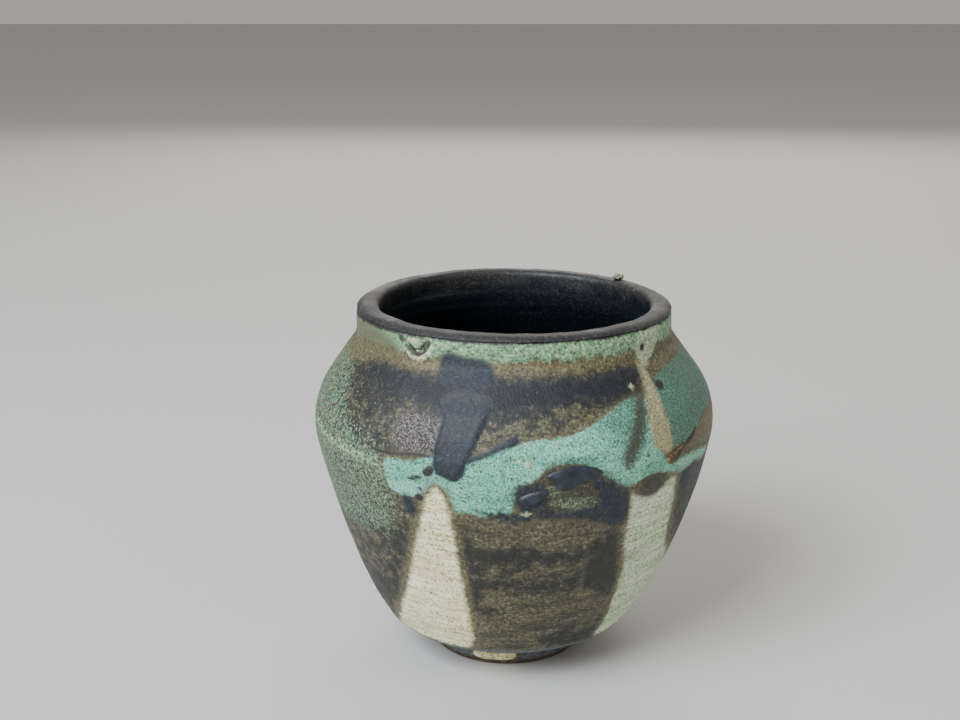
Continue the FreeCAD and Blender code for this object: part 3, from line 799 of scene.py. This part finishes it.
colour, _ = lay(tree, colour, sage, "collar_pale", 2.4, 2.4, grain, -0.3, 0.55)
for stripe, tone in (("cream", cream), ("sage", sage)):
    colour, _ = lay(tree, colour, gold, stripe, 3.2, 3.0, grain, 1.2, 0.9)
    colour, _ = lay(tree, colour, tone, stripe, 2.2, 1.8, grain, -0.7)

# the dark shoulder pour, soft below, and the crisp run of the same glaze
# a near-black glaze whose blue tint is a painted reflection of the bluish window light
pour_tone_and_blue_sheen = add(tree, "ValToRGB", {"Fac": speckle}, stops=[
    (0.34, "#060a11"), (0.52, "#0d151f"), (0.66, "#1c2631"), (0.80, "#4b5049")]).outputs["Color"]
colour, pour_cover = lay(tree, colour, pour_tone_and_blue_sheen, "pour", 5.0, 4.0, grain)
run_tone = add(tree, "ValToRGB", {"Fac": speckle}, stops=[
    (0.34, "#0a1017"), (0.50, "#141d28"), (0.62, "#26333f"), (0.74, "#4a5761")]).outputs["Color"]
colour, _ = lay(tree, colour, run_tone, "collar_run", 1.6, 3.0, speckle)
colour, run_cover = lay(tree, colour, run_tone, "run", 1.1, 0.8, grain, 0.2)

# brown stains round the pools, the pools themselves, the olive between them, and the small marks
stain_tone = add(tree, "Mix", {0: 0.3, 6: iron_dark, 7: iron}, data_type="RGBA").outputs[2]
colour, _ = lay(tree, colour, stain_tone, "stain", 2.8, 5.0, speckle, 0.3, 0.92)
colour, _ = lay(tree, colour, run_tone, "dark_pool", 2.6, 4.0, grain, 0.2)
olive = add(tree, "ValToRGB", {"Fac": brushed_grit.outputs[0]}, stops=[
    (0.34, "#2a2e26"), (0.48, "#454a36"), (0.60, "#68765a"), (0.76, "#93a381")]).outputs["Color"]
colour, _ = lay(tree, colour, olive, "olive", 3.4, 8.0, streak, 0.0, 0.8)
colour, _ = lay(tree, colour, iron_dark, "ink", 0.8, 0.5, speckle)
colour, _ = lay(tree, colour, celadon, "ridge", 1.6, 3.0, speckle, 0.3, 0.9)
flake = add(tree, "Mix", {0: 0.5, 6: celadon, 7: cream}, data_type="RGBA").outputs[2]
colour, _ = lay(tree, colour, flake, "scar", 1.2, 1.0, speckle, 0.0, 0.75)
colour, _ = lay(tree, colour, iron_dark, "groove", 0.6, 0.2, speckle, 0.3, 0.9)

# the liner glaze that lapped over the lip
lap_from = 104.4
colour = lay_above(tree, colour, iron_dark, lap_from, 2.4, -0.3, 0.4)

# the dark glaze that ran down and stopped on the turn above the foot, and the foot's own cream
stopped_at = 10.9
# the dark glaze here is lightened to grey: a painted sheen on the glossy glaze under the belly
foot_tone_and_sheen = add(tree, "ValToRGB", {"Fac": speckle}, stops=[
    (0.34, "#363c40"), (0.50, "#545b5e"), (0.64, "#787e78"), (0.78, "#a3a48c")]).outputs["Color"]
colour = lay_above(tree, colour, foot_tone_and_sheen, stopped_at, 3.0, 0.4, -0.4)
colour, _ = lay(tree, colour, gold, "foot_cream", 2.0, 1.5, grain, 0.8)
colour, _ = lay(tree, colour, cream, "foot_cream", 1.0, 1.0, grain, -0.4)

# pinholes and iron specks 0.6 mm across, in half of the cells of a 3.6 mm pattern
pinhole_spacing = 3.6 * MM
cells = add(tree, "TexVoronoi", {"Vector": place, "Scale": 1 / pinhole_spacing})
speck = add(tree, "MapRange", {"Value": cells.outputs["Distance"], "From Min": 0.15, "From Max": 0.08})
chosen = add(tree, "Math", {0: cells.outputs["Color"], 1: 0.52}, operation="GREATER_THAN")
speck_cover = add(tree, "Math", {0: speck.outputs[0], 1: chosen.outputs[0]}, operation="MULTIPLY")
speck_share = add(tree, "Math", {0: speck_cover.outputs[0], 1: 0.75}, operation="MULTIPLY")
colour = add(tree, "Mix", {0: speck_share.outputs[0], 6: colour, 7: linear("#2e2718")},
             data_type="RGBA").outputs[2]
tree.links.new(colour, shader.inputs["Base Color"])

# gloss: satin, drier or smoother with the grain, and evenly satin in the run and the pour
gloss = add(tree, "MapRange", {"Value": grain, "From Min": 0.3, "From Max": 0.7,
                               "To Min": 0.46, "To Max": 0.62})
thick_cover = add(tree, "Math", {0: run_cover, 1: pour_cover}, operation="MAXIMUM")
run_gloss = add(tree, "Mix", {0: thick_cover.outputs[0], 2: gloss.outputs[0], 3: 0.58}, data_type="FLOAT")
tree.links.new(run_gloss.outputs[0], shader.inputs["Roughness"])
shader.inputs["IOR"].default_value = 1.5

# fine relief: grit, speckle and the sunk pinholes, and less of it in the run
texture = add(tree, "Math", {0: grit, 1: 0.6, 2: speckle},
              operation="MULTIPLY_ADD")
holes = add(tree, "Math", {0: speck_cover.outputs[0], 1: -0.8, 2: texture.outputs[0]},
            operation="MULTIPLY_ADD")
grain_height = add(tree, "MapRange", {"Value": run_cover, "To Min": 0.55, "To Max": 0.3})
bump = add(tree, "Bump", {"Height": holes.outputs[0], "Strength": grain_height.outputs[0],
                          "Distance": 0.45 * MM})
tree.links.new(bump.outputs["Normal"], shader.inputs["Normal"])

outer.data.materials.append(glaze)
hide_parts("outside_glaze", "shoulder_pour_1", "shoulder_pour_2",
            *[f"iron_panel_{i}" for i in range(1, 6)])
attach(outer, "root")

# ---------------------------------------------------------------- the raised drops
# Thick drops of glaze that ran, met and set proud of the coat: two dark ones at the turquoise
# pool's edge, and a brown and an amber one over the second stripe. They are puddles of the coat.
# Each has its rise in millimetres and its outline, as the glazes of the coat have.
drops = {
    "glaze_drop_long": (0.8, [(7.6, 73.2), (10, 71.8), (10.6, 69.6), (13, 68.6), (16.4, 70.2), (20, 71.6),
                              (24, 73), (20.6, 74.8), (16, 75.6), (11.6, 75)]),
    "glaze_drop_left": (0.8, [(0.8, 66.8), (1.4, 65), (4, 65), (7.4, 66.6), (9.2, 68.4), (7.8, 69.4),
                              (4.6, 68.8), (2.4, 68)]),
    "glaze_drop_brown": (0.6, [(34, 65.2), (36.4, 63), (41, 62.4), (45, 64.2), (45.8, 67), (42.6, 69),
                               (38, 68.8), (34.8, 67.4)]),
    "glaze_drop_amber": (0.8, [(44.4, 72), (45.6, 70.4), (48.6, 70.4), (51, 72), (52.8, 74.4), (50.4, 74.6),
                               (47.6, 73.4), (45.4, 73.4)]),
}
drop_skirt = 0.9
skirt_sunk = 0.3 * MM
drop_base = 0.35 * MM
drop_cuts = 3


def melt_drop(name, rise, outline):
    """A puddle copied from the coat inside an outline, domed up by a rise in millimetres."""
    bpy.ops.object.select_all(action="DESELECT")
    outer.select_set(True)
    bpy.context.view_layer.objects.active = outer
    bpy.ops.object.duplicate(linked=False)
    piece = bpy.context.object
    piece.name = name
    piece.data.name = name
    turn, height, _ = places(piece)
    covered = depth_inside([outline], turn, height) > -drop_skirt
    bpy.ops.object.mode_set(mode="EDIT")
    bpy.ops.mesh.select_mode(type="FACE")
    bpy.ops.mesh.select_all(action="DESELECT")
    bpy.ops.object.mode_set(mode="OBJECT")
    for face in piece.data.polygons:
        outward = face.normal.x * face.center.x + face.normal.y * face.center.y > 0
        face.select = not (outward and all(covered[i] for i in face.vertices))
    bpy.ops.object.mode_set(mode="EDIT")
    bpy.ops.mesh.delete(type="FACE")
    bpy.ops.mesh.select_all(action="SELECT")
    bpy.ops.mesh.subdivide(number_cuts=drop_cuts, smoothness=0)
    bpy.ops.object.mode_set(mode="OBJECT")
    turn, height, _ = places(piece)
    depth = depth_inside([outline], turn, height)
    share = np.clip(depth / depth.max(), 0, 1)
    dome = np.sqrt(share * (2 - share))
    push(piece, "dome", dome, rise * MM)
    push(piece, "skirt", np.clip(-depth / drop_skirt, 0, 1), -skirt_sunk)
    keep(piece, "depth", depth)
    base = piece.modifiers.new("base", "SOLIDIFY")
    base.thickness = drop_base
    base.offset = -1
    bpy.ops.object.modifier_apply(modifier="base")
    piece.data.materials.clear()
    finish_shape(piece)
    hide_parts(name.replace("melted", "glaze"))
    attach(piece, "root")
    return piece


# thick dark glaze, smoother and a little glossier than the coat: it shows slate blue to black
pooled, tree, shader = new_material("pooled_dark_glaze")
place = add(tree, "TexCoord").outputs["Object"]
cloud = add(tree, "TexNoise", {"Vector": place, "Scale": 1 / (2.2 * MM), "Detail": 4, "Roughness": 0.6})
deep_tone = add(tree, "ValToRGB", {"Fac": cloud.outputs["Fac"]}, stops=[
    (0.36, "#0d141c"), (0.54, "#16212d"), (0.70, "#263544")])
tree.links.new(deep_tone.outputs["Color"], shader.inputs["Base Color"])
shader.inputs["Roughness"].default_value = 0.5
shader.inputs["IOR"].default_value = 1.52
ripple = add(tree, "Bump", {"Height": cloud.outputs["Fac"], "Strength": 0.3, "Distance": 0.3 * MM})
tree.links.new(ripple.outputs["Normal"], shader.inputs["Normal"])

# iron glaze caught as it ran: amber where thin, brown-black where thick, grainy and glossy
amber, tree, shader = new_material("amber_iron_glaze")
place = add(tree, "TexCoord").outputs["Object"]
speckle = add(tree, "TexNoise", {"Vector": place, "Scale": 1 / (1.1 * MM), "Detail": 3, "Roughness": 0.65})
level = add(tree, "Attribute", attribute_name="depth").outputs["Fac"]
level_share = add(tree, "MapRange", {"Value": level, "From Min": -0.4, "From Max": 2.0, "To Min": 0.22,
                                     "To Max": -0.2})
level_noise = add(tree, "Math", {0: speckle.outputs["Fac"], 1: level_share.outputs[0]}, operation="ADD")
amber_tone = add(tree, "ValToRGB", {"Fac": level_noise.outputs[0]}, stops=[
    (0.30, "#15130f"), (0.50, "#2f2818"), (0.66, "#5e4c24"), (0.82, "#8a7a42")])
tree.links.new(amber_tone.outputs["Color"], shader.inputs["Base Color"])
shader.inputs["Roughness"].default_value = 0.42
shader.inputs["IOR"].default_value = 1.52
ripple = add(tree, "Bump", {"Height": speckle.outputs["Fac"], "Strength": 0.4, "Distance": 0.3 * MM})
tree.links.new(ripple.outputs["Normal"], shader.inputs["Normal"])

# the brown drop is the coat's own glaze, only thicker
drop_finishes = {
    "glaze_drop_long": (pooled, "dark_glaze"),
    "glaze_drop_left": (pooled, "dark_glaze"),
    "glaze_drop_brown": (glaze, "iron_glaze"),
    "glaze_drop_amber": (amber, "iron_glaze"),
}
for node, (rise, outline) in drops.items():
    drop = melt_drop(node.replace("glaze", "melted"), rise, outline)
    finish, slot = drop_finishes[node]
    drop.data.materials.append(finish)

# ---------------------------------------------------------------- the kiln crumb on the lip
# A bit of kiln shelf that fell on the wet lip and was fired on: a rough dark lump, pale on top.
crumb_low, crumb_high = (Vector(corner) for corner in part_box("rim_crumb"))
crumb_size = crumb_high - crumb_low
crumb_raised = Vector((0, 0, 0.9 * MM))
bpy.ops.object.select_all(action="DESELECT")
bpy.ops.mesh.primitive_ico_sphere_add(subdivisions=5, radius=0.5,
                                      location=(crumb_low + crumb_high) / 2 + crumb_raised)
crumb = bpy.context.object
crumb.name = "fired_crumb"
bpy.ops.transform.resize(value=crumb_size * 1.1)
bpy.ops.object.transform_apply(location=True, rotation=True, scale=True)
lumpy(crumb, 1.3 * MM, 1.1 * MM)
lumpy(crumb, 0.4 * MM, 0.3 * MM)
settle(crumb)
finish_shape(crumb)

# sintered sand: dry and rough, dark below and paler on top where no glaze reached it
crumb_finish, tree, shader = new_material("fired_kiln_grit")
place = add(tree, "TexCoord").outputs["Object"]
sand = add(tree, "TexNoise", {"Vector": place, "Scale": 1 / (0.6 * MM), "Detail": 3, "Roughness": 0.6})
up = add(tree, "SeparateXYZ", {"Vector": place}).outputs["Z"]
tip = add(tree, "MapRange", {"Value": up, "From Min": crumb_high.z + 0.1 * MM,
                             "From Max": crumb_high.z + 0.9 * MM, "To Min": -0.05, "To Max": 0.2})
tip_noise = add(tree, "Math", {0: sand.outputs["Fac"], 1: tip.outputs[0]}, operation="ADD")
crumb_tone = add(tree, "ValToRGB", {"Fac": tip_noise.outputs[0]}, stops=[
    (0.40, "#1c1b17"), (0.56, "#3c3a2e"), (0.80, "#8d9276")])
tree.links.new(crumb_tone.outputs["Color"], shader.inputs["Base Color"])
shader.inputs["Roughness"].default_value = 0.7
crumb.data.materials.append(crumb_finish)
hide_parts("rim_crumb")
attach(crumb, "root")
